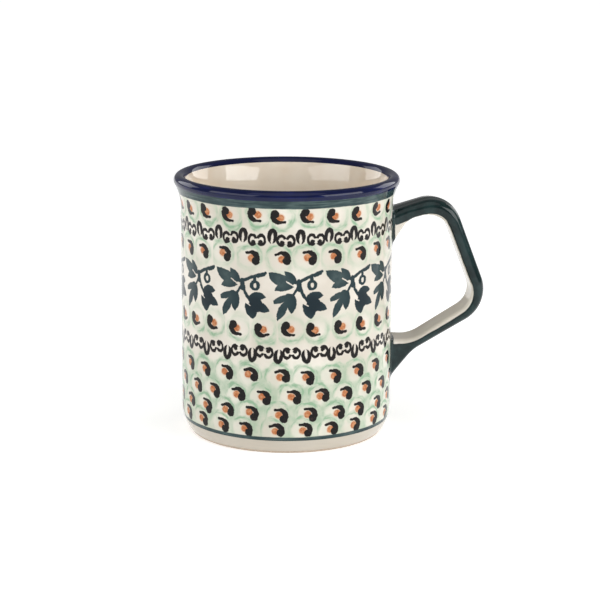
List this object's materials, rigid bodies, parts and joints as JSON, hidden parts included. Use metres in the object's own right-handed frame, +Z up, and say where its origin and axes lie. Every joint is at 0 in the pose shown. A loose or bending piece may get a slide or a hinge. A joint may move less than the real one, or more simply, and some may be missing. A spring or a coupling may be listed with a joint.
{
  "type": "mug",
  "caption": "Straight-sided stoneware mug with a flared lip and an angular strap handle, glazed and stamped with folk patterns in green, black and orange.",
  "frame": {"origin": "centre of the foot ring, in the plane that it rests on", "axes": "+Z up along the cup's axis, +X from the axis towards the handle, +Y across the handle"},
  "size_m": [0.1152, 0.083, 0.096],
  "materials": {
    "fired_clay": "fine matt grey-beige fired stoneware clay, with small dark specks",
    "cream_glaze": "glossy clear glaze over cream clay",
    "patterned_glaze": "glossy clear glaze over stamped and sponged rows of round blooms, curls and ivy sprigs in green, black and orange",
    "cobalt_glaze": "glossy deep cobalt blue glaze",
    "green_glaze": "glossy dark slate green glaze, brushed, with a cream inner face",
    "green_slip": "clay slip collar under the same dark green glaze"
  },
  "bodies": {
    "root": {"stoneware_body": "fired_clay", "liner_glaze": "cream_glaze", "wall_glaze": "patterned_glaze", "rim_glaze": "cobalt_glaze", "foot_glaze": "cream_glaze", "handle": "fired_clay", "handle_glaze": "green_glaze", "upper_joint_slip": "green_slip", "lower_joint_slip": "green_slip"}
  },
  "joints": []
}
